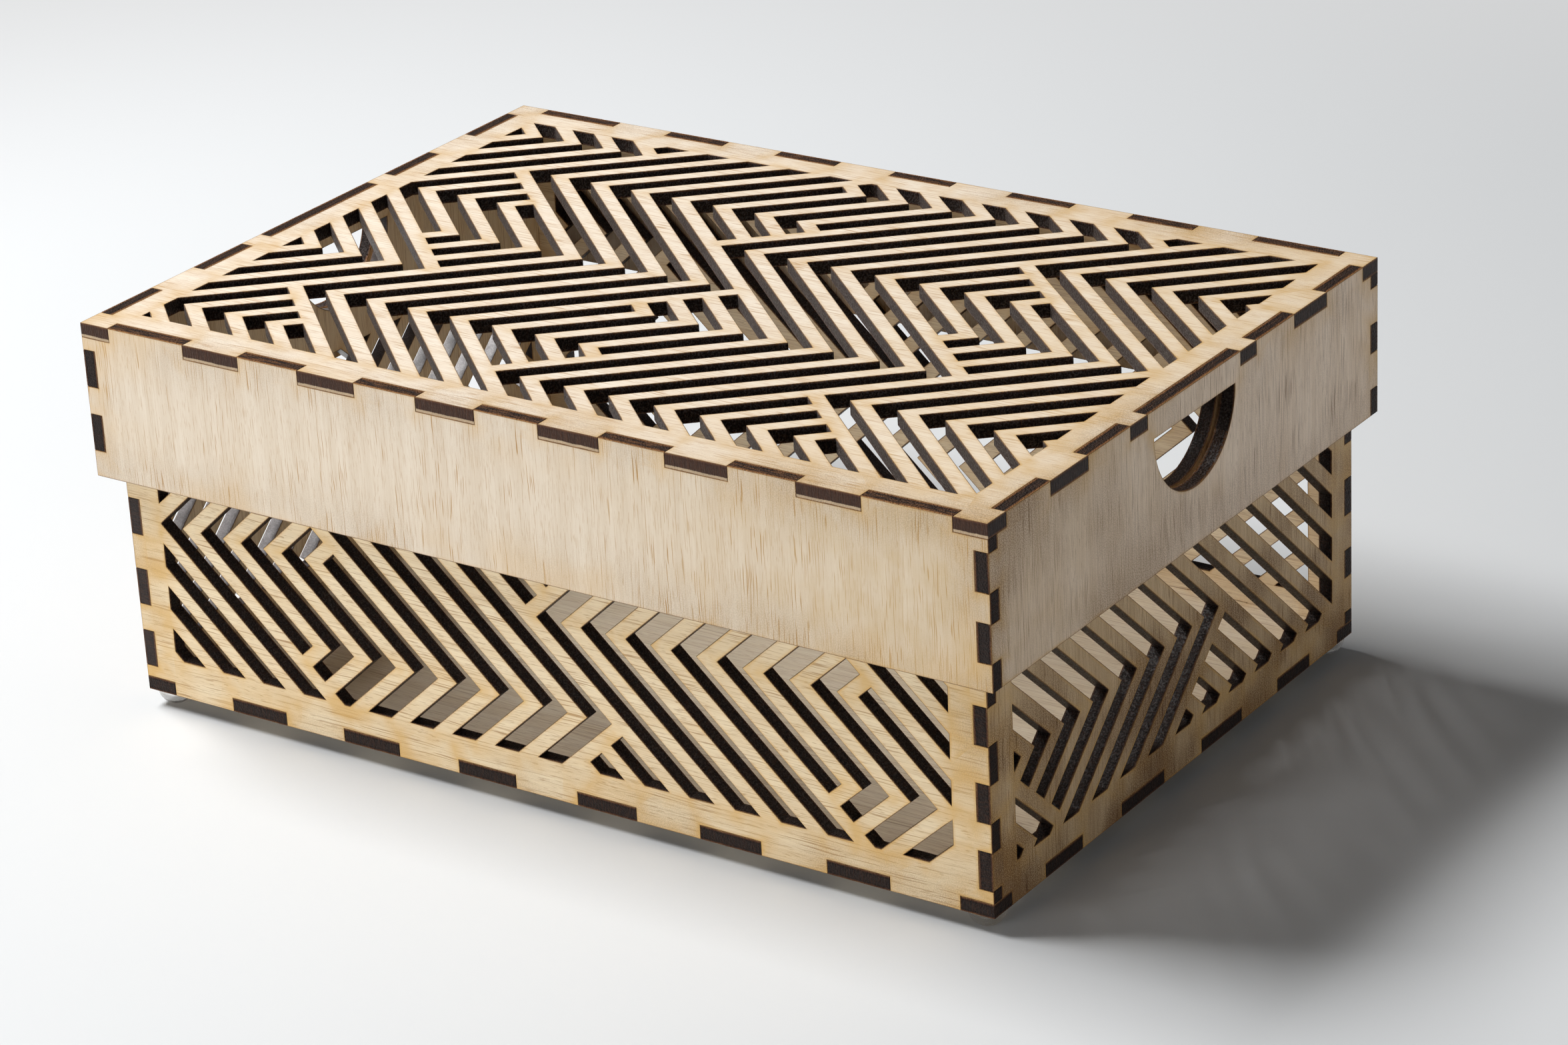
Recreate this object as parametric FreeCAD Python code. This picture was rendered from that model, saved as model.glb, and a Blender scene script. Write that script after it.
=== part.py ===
import FreeCAD, Part
import math
import os

# Plywood storage box with a lift-off lid, cut from flat sheets that lock together with fingers.
# Millimetres, +Z up. The origin is on the table under the middle of the box, X runs along the
# long sides, the front faces -Y and the feet stand on Z = 0.

# Sheet and joints
PLY = 5.0  # thickness of every panel
JOINT_GAP = 0.1  # width of the cut that shows beside each finger

# Lid, outside
LID_LENGTH = 352.0
LID_WIDTH = 244.0
LID_HEIGHT = 55.0  # top face to the lower edge of the skirts
LID_PLAY = 1.4  # gap between a skirt and the wall behind it

# Box
WALL_HEIGHT = 130.5  # underside of the floor to the top of the walls

# Fingers along the long edges of the lid top and the floor
LONG_TAB = 23.1
LONG_TAB_PITCH = 48.1
LONG_CORNER_TAB = 12.0
LONG_END_NOTCH = 15.0  # least notch between a corner tab and the row of tabs

# Fingers along the short edges
SHORT_CORNER_TAB = 10.4
LID_OUTER_TAB = 21.8
LID_INNER_TAB = 10.3
TONGUE_MARGIN = 3.8  # the skirt's middle tongue is this much wider than the finger hole, each side
FLOOR_OUTER_TAB = 22.0
FLOOR_INNER_TAB = 26.6
FLOOR_END_NOTCH = 20.0

# Fingers up the corners, counted from the lower edge; the end panels own these tabs
CORNER_TAB = 13.0
CORNER_TAB_START = 9.4
CORNER_FIRST_SPACE = 10.0  # between the lowest two tabs
CORNER_SPACE = 13.0  # between the others
CORNER_TOP_REST = 3.0  # least height left above the highest tab

# Finger holes in the ends: a half disc with its flat side up
HOLE_RADIUS = 25.4
HOLE_STRIP = 4.6  # wall left above the flat side

# Zigzag fretwork
BAR = 5.45
SLOT = 6.25
BAR_ANGLE = 42.1  # degrees from the horizontal
LID_BORDER = 14.6  # solid border around the lid's window
WALL_BORDER = 14.0  # solid border around the windows of the walls
LEAST_SLOT_AREA = 3.0  # smaller corners of the pattern stay solid

# Where the pattern's repeat starts on each panel: sideways from the middle, and up from the
# middle of the lid or from the underside of the floor
LID_PATTERN = (-130.4, 64.7)
LONG_WALL_PATTERN = (-103.4, 96.1)
END_WALL_PATTERN = (-107.0, 110.6)

# The repeat, counted in bars
REPEAT_ACROSS = 12
REPEAT_DOWN = 8
BUNDLE = 4  # bars that run side by side

# Clear dome feet
FOOT_DIAMETER = 12.7
FOOT_HEIGHT = 6.0
FOOT_RIM = 0.8  # straight rim above the dome
FOOT_FLAT = 3.0  # diameter of the flat that the dome stands on
FOOT_INSET = 6.5  # foot centre to the outside of the walls

# Worked out
BOX_LENGTH = LID_LENGTH - 2 * (PLY + LID_PLAY)
BOX_WIDTH = LID_WIDTH - 2 * (PLY + LID_PLAY)
FLOOR_Z = FOOT_HEIGHT
WALL_TOP_Z = FLOOR_Z + WALL_HEIGHT
LID_TOP_Z = WALL_TOP_Z + PLY
SKIRT_Z = LID_TOP_Z - LID_HEIGHT
SLOT_SHARE = SLOT / (BAR + SLOT)
STRIDE_ACROSS = (BAR + SLOT) / math.sin(math.radians(BAR_ANGLE))
STRIDE_UP = (BAR + SLOT) / math.cos(math.radians(BAR_ANGLE))

ORIGIN = FreeCAD.Vector(0, 0, 0)
X_AXIS = FreeCAD.Vector(1, 0, 0)
Z_AXIS = FreeCAD.Vector(0, 0, 1)
FRONT, RIGHT, REAR, LEFT = 0, 90, 180, 270  # turns about Z that take a panel from the front


# Fingers: a list of (start, end) runs along an edge

def mirrored(length, half):
    """Runs of the first half of an edge, followed by their mirror images."""
    return half + [(length - end, length - start) for start, end in reversed(half)]


def long_edge_tabs(length):
    """Tabs of the lid top or the floor along a long edge: corner tabs and an even row between."""
    room = length - 2 * (LONG_CORNER_TAB + LONG_END_NOTCH) - LONG_TAB
    count = 1 + int(room // LONG_TAB_PITCH)
    first = (length - (count - 1) * LONG_TAB_PITCH - LONG_TAB) / 2
    starts = [first + number * LONG_TAB_PITCH for number in range(count)]
    row = [(start, start + LONG_TAB) for start in starts]
    return [(0, LONG_CORNER_TAB)] + row + [(length - LONG_CORNER_TAB, length)]


def lid_short_edge_tabs(length):
    """Tabs of the lid top along a short edge, clear of the tongue over the finger hole."""
    tongue = length / 2 - HOLE_RADIUS - TONGUE_MARGIN
    notch = (tongue - SHORT_CORNER_TAB - LID_OUTER_TAB - LID_INNER_TAB) / 2
    outer = SHORT_CORNER_TAB + notch
    half = [(0, SHORT_CORNER_TAB), (outer, outer + LID_OUTER_TAB), (tongue - LID_INNER_TAB, tongue)]
    return mirrored(length, half)


def floor_short_edge_tabs(length):
    """Tabs of the floor along a short edge."""
    outer = SHORT_CORNER_TAB + FLOOR_END_NOTCH
    room = length / 2 - outer - FLOOR_OUTER_TAB - FLOOR_INNER_TAB
    notch = room * 2 / 3  # what is left holds one notch and half of the middle one
    inner = outer + FLOOR_OUTER_TAB + notch
    half = [(0, SHORT_CORNER_TAB), (outer, outer + FLOOR_OUTER_TAB), (inner, inner + FLOOR_INNER_TAB)]
    return mirrored(length, half)


def corner_tabs(height):
    """Tabs of an end panel up a corner, as many as fit under the given height."""
    tabs = []
    start = CORNER_TAB_START
    space = CORNER_FIRST_SPACE
    while start + CORNER_TAB + CORNER_TOP_REST <= height:
        tabs.append((start, start + CORNER_TAB))
        start += CORNER_TAB + space
        space = CORNER_SPACE
    return tabs


def spaces(length, tabs):
    """Runs between the tabs, which the mating panel fills."""
    cuts = [0] + [place for tab in tabs for place in tab] + [length]
    pairs = zip(cuts[0::2], cuts[1::2])
    return [(start, end) for start, end in pairs if end > start]


def stepped_edge(length, tabs):
    """Edge as (start, depth) steps: flush on the panel's own tabs, one sheet deep elsewhere."""
    steps = []
    reached = 0
    for start, end in tabs:
        if start > 0:
            steps.append((reached, PLY))
            start += JOINT_GAP / 2
        if end < length:
            end -= JOINT_GAP / 2
        steps.append((start, 0))
        reached = end
    if reached < length:
        steps.append((reached, PLY))
    return steps


STRAIGHT = [(0, 0)]


def backwards(length, steps):
    """The same edge walked from its other end."""
    ends = [start for start, depth in steps[1:]] + [length]
    return [(length - end, depth) for end, (start, depth) in reversed(list(zip(ends, steps)))]


def outline(width, height, bottom, right, top, left):
    """Closed wire of a panel from its four stepped edges, centred across, standing on Y = 0.

    The bottom and top edges run from left to right, the side edges from bottom to top.
    """
    walk = [
        (width, bottom, lambda run, depth: (run - width / 2, depth)),
        (height, right, lambda run, depth: (width / 2 - depth, run)),
        (width, backwards(width, top), lambda run, depth: (width / 2 - run, height - depth)),
        (height, backwards(height, left), lambda run, depth: (depth - width / 2, height - run)),
    ]
    points = []
    for number, (length, steps, place) in enumerate(walk):
        depth_before = walk[number - 1][1][-1][1]
        points.append(place(depth_before, steps[0][1]))
        for (start, depth), (next_start, next_depth) in zip(steps, steps[1:]):
            points.append(place(next_start, depth))
            points.append(place(next_start, next_depth))
    return closed_wire(points)


def closed_wire(points):
    """Closed wire through flat points."""
    corners = [FreeCAD.Vector(x, y, 0) for x, y in points]
    return Part.makePolygon(corners + corners[:1])


# Fretwork: the bars lean both ways, so a place on it is counted along two slanting scales,
# one across the bars that lean right and one across the bars that lean left

def fret_chains(columns, rows):
    """Chains of corners that the slots follow, for the given repeats across and down."""
    leg = 2 * BUNDLE
    chains = []
    for column in columns:
        for lane in range(BUNDLE):
            shift = REPEAT_ACROSS * column + lane
            chains.append(endless_zigzag(shift, shift, rows))
            chains.append(endless_zigzag(shift + leg, shift + BUNDLE, rows))
            for row in rows:
                down = REPEAT_DOWN * row
                chains.extend(fillers(REPEAT_ACROSS * column, down, lane))
    return chains


def endless_zigzag(right, left, rows):
    """One slot that zigzags from the top of the panel to the bottom."""
    chain = []
    for row in rows:
        down = REPEAT_DOWN * row
        chain.append((right + down, left - down))
        chain.append((right + down + REPEAT_DOWN, left - down))
    return chain


def fillers(across, down, lane):
    """The two short slots that fill the space between the endless zigzags, one lane of each."""
    near = BUNDLE
    far = 2 * BUNDLE
    last = BUNDLE - 1
    upper = [
        (near, far + lane),
        (near + lane, far + lane),
        (near + lane, near + lane),
        (near + last, near + lane),
    ]
    lower = [
        (far + near + lane, far + last),
        (far + near + lane, far + lane),
        (2 * far + lane, far + lane),
        (2 * far + lane, far),
    ]
    return [[(across + down + a, across - down + b) for a, b in chain] for chain in (upper, lower)]


def slot_outline(chain):
    """Corners of the slot along a chain, on the two slanting scales."""
    nodes = [node for node, before in zip(chain, [None] + chain) if node != before]
    middle = SLOT_SHARE / 2
    steps = []
    for (a, b), (next_a, next_b) in zip(nodes, nodes[1:]):
        length = abs(next_a - a) + abs(next_b - b)
        steps.append(((next_a - a) / length, (next_b - b) / length))
    near_side = []
    far_side = []
    for number, (a, b) in enumerate(nodes):
        into = steps[number - 1] if number > 0 else None
        out = steps[number] if number < len(steps) else None
        along = (0, 0)
        if into is None:
            along = (-out[0], -out[1])
        if out is None:
            along = into
        turns = [step for step in (into, out) if step]
        side = (-sum(step[1] for step in turns), sum(step[0] for step in turns))
        centre = (a + middle + middle * along[0], b + middle + middle * along[1])
        near_side.append((centre[0] + middle * side[0], centre[1] + middle * side[1]))
        far_side.append((centre[0] - middle * side[0], centre[1] - middle * side[1]))
    return near_side + far_side[::-1]


def fretwork(low, high, start):
    """Wires of every slot inside the window between two corners."""
    window = Part.Face(closed_wire([low, (high[0], low[1]), high, (low[0], high[1])]))
    reach_left = (low[0] - start[0]) / STRIDE_ACROSS
    reach_right = (high[0] - start[0]) / STRIDE_ACROSS
    reach_up = (start[1] - high[1]) / STRIDE_UP
    reach_down = (start[1] - low[1]) / STRIDE_UP
    columns = range(math.floor(reach_left / REPEAT_ACROSS) - 2, math.ceil(reach_right / REPEAT_ACROSS) + 1)
    rows = range(math.floor(reach_up / REPEAT_DOWN) - 1, math.ceil(reach_down / REPEAT_DOWN) + 2)
    wires = []
    for chain in fret_chains(columns, rows):
        corners = []
        for a, b in slot_outline(chain):
            corners.append((start[0] + STRIDE_ACROSS * (a + b) / 2, start[1] - STRIDE_UP * (a - b) / 2))
        slot = Part.Face(closed_wire(corners))
        if not slot.BoundBox.intersect(window.BoundBox):
            continue
        pieces = slot.common(window).Faces
        wires.extend(piece.OuterWire for piece in pieces if piece.Area > LEAST_SLOT_AREA)
    return wires


def finger_hole(flat):
    """Wire of the half disc whose flat side lies at the given height."""
    left = FreeCAD.Vector(-HOLE_RADIUS, flat, 0)
    right = FreeCAD.Vector(HOLE_RADIUS, flat, 0)
    bottom = FreeCAD.Vector(0, flat - HOLE_RADIUS, 0)
    return Part.Wire([Part.Arc(left, bottom, right).toShape(), Part.LineSegment(right, left).toShape()])


# Panels

def sheet(border, openings):
    """Solid sheet with its outer face on Z = 0 and its thickness below."""
    face = Part.makeFace([border] + openings, "Part::FaceMakerBullseye")
    return face.extrude(Z_AXIS * -PLY)


def laid_flat(panel, width, top):
    """Panel lying flat with its outer face up at the given height, centred on the box."""
    panel.translate(FreeCAD.Vector(0, -width / 2, top))
    return panel


def stood_up(panel, reach, bottom, turn):
    """Panel standing with its outer face at a distance from the middle, turned to its side."""
    standing = panel.copy()
    standing.rotate(ORIGIN, X_AXIS, 90)
    standing.translate(FreeCAD.Vector(0, -reach, bottom))
    standing.rotate(ORIGIN, Z_AXIS, turn)
    return standing


def lid_top():
    """Top of the lid, with tabs on all four edges and one large fretwork window."""
    long_edge = stepped_edge(LID_LENGTH, long_edge_tabs(LID_LENGTH))
    short_edge = stepped_edge(LID_WIDTH, lid_short_edge_tabs(LID_WIDTH))
    border = outline(LID_LENGTH, LID_WIDTH, long_edge, short_edge, long_edge, short_edge)
    low = (-LID_LENGTH / 2 + LID_BORDER, LID_BORDER)
    high = (LID_LENGTH / 2 - LID_BORDER, LID_WIDTH - LID_BORDER)
    start = (LID_PATTERN[0], LID_WIDTH / 2 + LID_PATTERN[1])
    return laid_flat(sheet(border, fretwork(low, high, start)), LID_WIDTH, LID_TOP_Z)


def floor_panel():
    """Solid floor, with tabs on all four edges."""
    long_edge = stepped_edge(BOX_LENGTH, long_edge_tabs(BOX_LENGTH))
    short_edge = stepped_edge(BOX_WIDTH, floor_short_edge_tabs(BOX_WIDTH))
    border = outline(BOX_LENGTH, BOX_WIDTH, long_edge, short_edge, long_edge, short_edge)
    return laid_flat(sheet(border, []), BOX_WIDTH, FLOOR_Z + PLY)


def lid_long_skirt():
    """Long side of the lid."""
    top = stepped_edge(LID_LENGTH, spaces(LID_LENGTH, long_edge_tabs(LID_LENGTH)))
    side = stepped_edge(LID_HEIGHT, spaces(LID_HEIGHT, corner_tabs(LID_HEIGHT - PLY)))
    return sheet(outline(LID_LENGTH, LID_HEIGHT, STRAIGHT, side, top, side), [])


def lid_end_skirt():
    """Short side of the lid, with a finger hole under its middle tongue."""
    top = stepped_edge(LID_WIDTH, spaces(LID_WIDTH, lid_short_edge_tabs(LID_WIDTH)))
    side = stepped_edge(LID_HEIGHT, corner_tabs(LID_HEIGHT - PLY))
    border = outline(LID_WIDTH, LID_HEIGHT, STRAIGHT, side, top, side)
    return sheet(border, [finger_hole(LID_HEIGHT - PLY - HOLE_STRIP)])


def long_wall():
    """Long side of the box, with a fretwork window."""
    bottom = stepped_edge(BOX_LENGTH, spaces(BOX_LENGTH, long_edge_tabs(BOX_LENGTH)))
    side = stepped_edge(WALL_HEIGHT, spaces(WALL_HEIGHT, corner_tabs(WALL_HEIGHT)))
    border = outline(BOX_LENGTH, WALL_HEIGHT, bottom, side, STRAIGHT, side)
    low = (-BOX_LENGTH / 2 + WALL_BORDER, WALL_BORDER)
    high = (BOX_LENGTH / 2 - WALL_BORDER, WALL_HEIGHT - WALL_BORDER)
    return sheet(border, fretwork(low, high, LONG_WALL_PATTERN))


def end_wall():
    """Short side of the box, with a finger hole above its fretwork window."""
    bottom = stepped_edge(BOX_WIDTH, spaces(BOX_WIDTH, floor_short_edge_tabs(BOX_WIDTH)))
    side = stepped_edge(WALL_HEIGHT, corner_tabs(WALL_HEIGHT))
    border = outline(BOX_WIDTH, WALL_HEIGHT, bottom, side, STRAIGHT, side)
    hole_flat = WALL_HEIGHT - HOLE_STRIP
    low = (-BOX_WIDTH / 2 + WALL_BORDER, WALL_BORDER)
    high = (BOX_WIDTH / 2 - WALL_BORDER, hole_flat - HOLE_RADIUS - WALL_BORDER)
    return sheet(border, [finger_hole(hole_flat)] + fretwork(low, high, END_WALL_PATTERN))


def foot(x, y):
    """Clear dome foot under the floor, standing on a small flat."""
    radius = FOOT_DIAMETER / 2
    flat = FOOT_FLAT / 2
    dome = FOOT_HEIGHT - FOOT_RIM
    centre_z = (radius ** 2 - flat ** 2 + dome ** 2) / (2 * dome)
    curve = math.hypot(flat, centre_z)
    half_way = (math.asin(flat / curve) + math.atan2(radius, centre_z - dome)) / 2
    axis_low = ORIGIN
    flat_edge = FreeCAD.Vector(flat, 0, 0)
    bulge = FreeCAD.Vector(curve * math.sin(half_way), 0, centre_z - curve * math.cos(half_way))
    rim_low = FreeCAD.Vector(radius, 0, dome)
    rim_high = FreeCAD.Vector(radius, 0, FOOT_HEIGHT)
    axis_high = FreeCAD.Vector(0, 0, FOOT_HEIGHT)
    profile = Part.Wire([
        Part.LineSegment(axis_low, flat_edge).toShape(),
        Part.Arc(flat_edge, bulge, rim_low).toShape(),
        Part.LineSegment(rim_low, rim_high).toShape(),
        Part.LineSegment(rim_high, axis_high).toShape(),
        Part.LineSegment(axis_high, axis_low).toShape(),
    ])
    dome_foot = Part.Face(profile).revolve(ORIGIN, Z_AXIS, 360)
    dome_foot.translate(FreeCAD.Vector(x, y, 0))
    return dome_foot


def build():
    """Every piece of the box by name."""
    long_skirt = lid_long_skirt()
    end_skirt = lid_end_skirt()
    wall = long_wall()
    end = end_wall()
    pieces = {
        "floor_panel": floor_panel(),
        "front_wall": stood_up(wall, BOX_WIDTH / 2, FLOOR_Z, FRONT),
        "rear_wall": stood_up(wall, BOX_WIDTH / 2, FLOOR_Z, REAR),
        "right_wall": stood_up(end, BOX_LENGTH / 2, FLOOR_Z, RIGHT),
        "left_wall": stood_up(end, BOX_LENGTH / 2, FLOOR_Z, LEFT),
        "lid_top": lid_top(),
        "lid_front_skirt": stood_up(long_skirt, LID_WIDTH / 2, SKIRT_Z, FRONT),
        "lid_rear_skirt": stood_up(long_skirt, LID_WIDTH / 2, SKIRT_Z, REAR),
        "lid_right_skirt": stood_up(end_skirt, LID_LENGTH / 2, SKIRT_Z, RIGHT),
        "lid_left_skirt": stood_up(end_skirt, LID_LENGTH / 2, SKIRT_Z, LEFT),
    }
    foot_x = BOX_LENGTH / 2 - FOOT_INSET
    foot_y = BOX_WIDTH / 2 - FOOT_INSET
    for depth_name, y in (("front", -foot_y), ("rear", foot_y)):
        for side_name, x in (("left", -foot_x), ("right", foot_x)):
            pieces[f"foot_{depth_name}_{side_name}"] = foot(x, y)
    return pieces


os.makedirs("parts", exist_ok=True)
for name, shape in build().items():
    shape.exportStep(f"parts/{name}.step")
    print(f"{name}: {len(shape.Solids)} solid, {shape.Volume / 1000:.2f} cm3, valid {shape.isValid()}")
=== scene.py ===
"""Looks of a laser-cut plywood storage box with zigzag fretwork and a lift-off lid."""

import logging
import math
from dataclasses import dataclass, field
from enum import Enum
from typing import Any, Callable, Optional, Union

import bmesh
import bpy
from mathutils import Matrix, Vector
from mathutils.kdtree import KDTree


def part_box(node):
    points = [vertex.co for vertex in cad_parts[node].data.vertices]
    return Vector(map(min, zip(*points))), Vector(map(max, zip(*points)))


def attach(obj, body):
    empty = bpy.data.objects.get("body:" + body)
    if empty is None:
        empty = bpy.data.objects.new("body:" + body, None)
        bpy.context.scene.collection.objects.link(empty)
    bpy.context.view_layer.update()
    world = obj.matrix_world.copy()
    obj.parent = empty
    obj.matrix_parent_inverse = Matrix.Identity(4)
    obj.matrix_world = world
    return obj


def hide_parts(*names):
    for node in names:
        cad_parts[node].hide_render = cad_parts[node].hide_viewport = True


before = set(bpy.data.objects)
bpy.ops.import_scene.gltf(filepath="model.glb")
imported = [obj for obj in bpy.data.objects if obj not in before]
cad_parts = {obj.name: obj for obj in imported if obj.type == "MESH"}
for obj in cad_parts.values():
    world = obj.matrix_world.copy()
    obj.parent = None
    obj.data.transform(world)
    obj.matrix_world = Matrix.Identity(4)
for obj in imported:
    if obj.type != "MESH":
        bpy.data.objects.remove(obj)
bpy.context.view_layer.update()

log = logging.getLogger("plywood_box")

Colour = tuple[float, float, float]
Step = tuple[float, float]
Number = Union[int, float]

MM = 0.001
SCORCH = "scorch"
PLY_DEPTH = "ply_depth"
DWELL = "dwell"
BORDER = "border"


class Axis(Enum):
    """Direction across a sheet's thickness."""

    X = 0
    Y = 1
    Z = 2


class SheetSide(Enum):
    """Material slot of a sheet's faces."""

    VENEER = 0
    EDGE = 1
    UPPER_EDGE = 2
    INNER = 3


class Grain(Enum):
    """Direction in which the fibres of a face veneer run."""

    LENGTHWISE = "along X"
    UPRIGHT = "along Z"


class Sock:
    """A node's output that takes part in Python arithmetic."""

    def __init__(self, tree: "ShaderTree", socket: bpy.types.NodeSocket) -> None:
        """Wraps one output socket of a tree."""
        self.tree = tree
        self.socket = socket

    def __add__(self, other: "Value") -> "Sock":
        """Sum of two values."""
        return self.tree.math("ADD", self, other)

    def __radd__(self, other: "Value") -> "Sock":
        """Sum with a plain number on the left."""
        return self.tree.math("ADD", other, self)

    def __sub__(self, other: "Value") -> "Sock":
        """Difference of two values."""
        return self.tree.math("SUBTRACT", self, other)

    def __rsub__(self, other: "Value") -> "Sock":
        """Difference with a plain number on the left."""
        return self.tree.math("SUBTRACT", other, self)

    def __mul__(self, other: "Value") -> "Sock":
        """Product of two values."""
        return self.tree.math("MULTIPLY", self, other)

    def __rmul__(self, other: "Value") -> "Sock":
        """Product with a plain number on the left."""
        return self.tree.math("MULTIPLY", other, self)

    def __truediv__(self, other: "Value") -> "Sock":
        """Quotient of two values."""
        return self.tree.math("DIVIDE", self, other)

    def __pow__(self, other: "Value") -> "Sock":
        """Power of a value."""
        return self.tree.math("POWER", self, other)

    def least(self, other: "Value") -> "Sock":
        """Smaller of two values."""
        return self.tree.math("MINIMUM", self, other)

    def lifted(self, floor: Number) -> "Sock":
        """Value with its lower end lifted: floor at 0, and still 1 at 1."""
        return floor + (1.0 - floor) * self

    def rise(self, low: Number, high: Number) -> "Sock":
        """Smooth step of the value.

        Args:
            low: value at which the step starts.
            high: value at which the step ends.

        Returns:
            A value from 0 at low to 1 at high.
        """
        settings = {"interpolation_type": "SMOOTHSTEP"}
        return self.tree.node("ShaderNodeMapRange", settings, {0: self, 1: low, 2: high})


Value = Union[Sock, Number]


class ShaderTree:
    """A material's node tree, with short ways to add to it."""

    def __init__(self, name: str) -> None:
        """Starts a new material with one Principled shader."""
        self.material = bpy.data.materials.new(name)
        self.material.use_nodes = True
        self.nodes = self.material.node_tree.nodes
        self.links = self.material.node_tree.links
        self.shader = self.nodes["Principled BSDF"]

    def node(
        self,
        kind: str,
        settings: Optional[dict[str, Any]] = None,
        inputs: Optional[dict[Union[int, str], Any]] = None,
        output: Union[int, str] = 0,
    ) -> Sock:
        """Adds one node.

        Args:
            kind: the node's type name.
            settings: its properties, or "stops" for a colour ramp, set before its sockets.
            inputs: values or sockets by input name or number.
            output: the output to hand back.

        Returns:
            The chosen output.
        """
        made = self.nodes.new(kind)
        for key, value in (settings or {}).items():
            if key == "stops":
                self._set_stops(made.color_ramp, value)
            else:
                setattr(made, key, value)
        for key, value in (inputs or {}).items():
            self.feed(made.inputs[key], value)
        return Sock(self, made.outputs[output])

    def _set_stops(self, ramp: bpy.types.ColorRamp, stops: list[tuple[float, Colour]]) -> None:
        """Gives a colour ramp its stops.

        Args:
            ramp: the ramp, with its two first stops.
            stops: positions and colours, from low to high.
        """
        for _ in range(len(stops) - len(ramp.elements)):
            ramp.elements.new(1.0)
        for element, (place, colour) in zip(ramp.elements, stops):
            element.position = place
            element.color = (*colour, 1.0)

    def feed(self, socket: bpy.types.NodeSocket, value: Any) -> None:
        """Links a socket, or sets its value.

        Args:
            socket: the input to feed.
            value: a Sock, a number, a vector or a colour.
        """
        if isinstance(value, Sock):
            self.links.new(value.socket, socket)
        elif isinstance(value, tuple) and socket.type == "RGBA":
            socket.default_value = (*value, 1.0)
        else:
            socket.default_value = value

    def math(self, operation: str, first: Value, second: Value) -> Sock:
        """Adds one Math node."""
        return self.node("ShaderNodeMath", {"operation": operation}, {0: first, 1: second})

    def mix(self, share: Value, under: Any, over: Any, blend: str = "MIX") -> Sock:
        """Mixes two colours.

        Args:
            share: how much of the second colour shows.
            under: the first colour, or its socket.
            over: the second colour, or its socket.
            blend: Blender's name for the way they mix.

        Returns:
            The mixed colour.
        """
        settings = {"data_type": "RGBA", "blend_type": blend}
        return self.node("ShaderNodeMix", settings, {0: share, 6: under, 7: over}, 2)

    def attribute(self, name: str) -> Sock:
        """Reads a number that the mesh holds at its vertices."""
        return self.node("ShaderNodeAttribute", {"attribute_name": name}, output="Fac")

    def place(self) -> tuple[Sock, Sock, Sock]:
        """Reads the object coordinates.

        Returns:
            X, Y and Z in millimetres.
        """
        coordinates = self.node("ShaderNodeTexCoord", output="Object")
        apart = self.node("ShaderNodeSeparateXYZ", inputs={0: coordinates}).socket.node
        return tuple(Sock(self, output) * (1 / MM) for output in apart.outputs)

    def noise(self, at: tuple[Value, Value, Value], detail: float = 2.0, rough: float = 0.5) -> Sock:
        """Adds a noise whose features are about one unit wide.

        Args:
            at: the three coordinates.
            detail: number of finer layers.
            rough: weight of the finer layers.

        Returns:
            A value round 0.5.
        """
        vector = self.node("ShaderNodeCombineXYZ", inputs={0: at[0], 1: at[1], 2: at[2]})
        inputs = {"Vector": vector, "Scale": 1.0, "Detail": detail, "Roughness": rough}
        return self.node("ShaderNodeTexNoise", {"noise_dimensions": "3D"}, inputs)

    def mottle(
        self, place: tuple[Sock, Sock, Sock], size: float, detail: float = 2.0, shift: float = 0.0
    ) -> Sock:
        """Adds a noise that is the same in every direction.

        Args:
            place: X, Y and Z in millimetres.
            size: width of its features in millimetres.
            detail: number of finer layers.
            shift: how many features it is moved along Z.

        Returns:
            A value round 0.5.
        """
        x, y, z = (value / size for value in place)
        return self.noise((x, y, z + shift), detail)

    def bump(self, height: Sock, strength: float, distance: float) -> None:
        """Feeds the shader's normal from a height.

        Args:
            height: the height, round 0 to 1.
            strength: weight of the bump.
            distance: height of one unit, in metres.
        """
        inputs = {"Height": height, "Strength": strength, "Distance": distance}
        self.feed(self.shader.inputs["Normal"], self.node("ShaderNodeBump", inputs=inputs))

    def finish(self, **sockets: Any) -> bpy.types.Material:
        """Feeds the shader's sockets.

        Args:
            sockets: values by socket name, with _ for a space.

        Returns:
            The finished material.
        """
        for name, value in sockets.items():
            self.feed(self.shader.inputs[name.replace("_", " ")], value)
        return self.material


@dataclass(frozen=True)
class GrainNoise:
    """A noise stretched along the grain, with the size of its features in millimetres."""

    length: float
    width: float
    seed: float = 0.0
    detail: float = 2.0
    rough: float = 0.5

    def add(self, tree: ShaderTree, along: Sock, across: Sock, seed: float) -> Sock:
        """Adds the noise to a material.

        Args:
            tree: the material's tree.
            along: the place along the grain.
            across: the place across it.
            seed: the veneer's own seed.

        Returns:
            A value round 0.5.
        """
        at = (along / self.length, across / self.width, seed + self.seed)
        return tree.noise(at, self.detail, self.rough)


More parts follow.
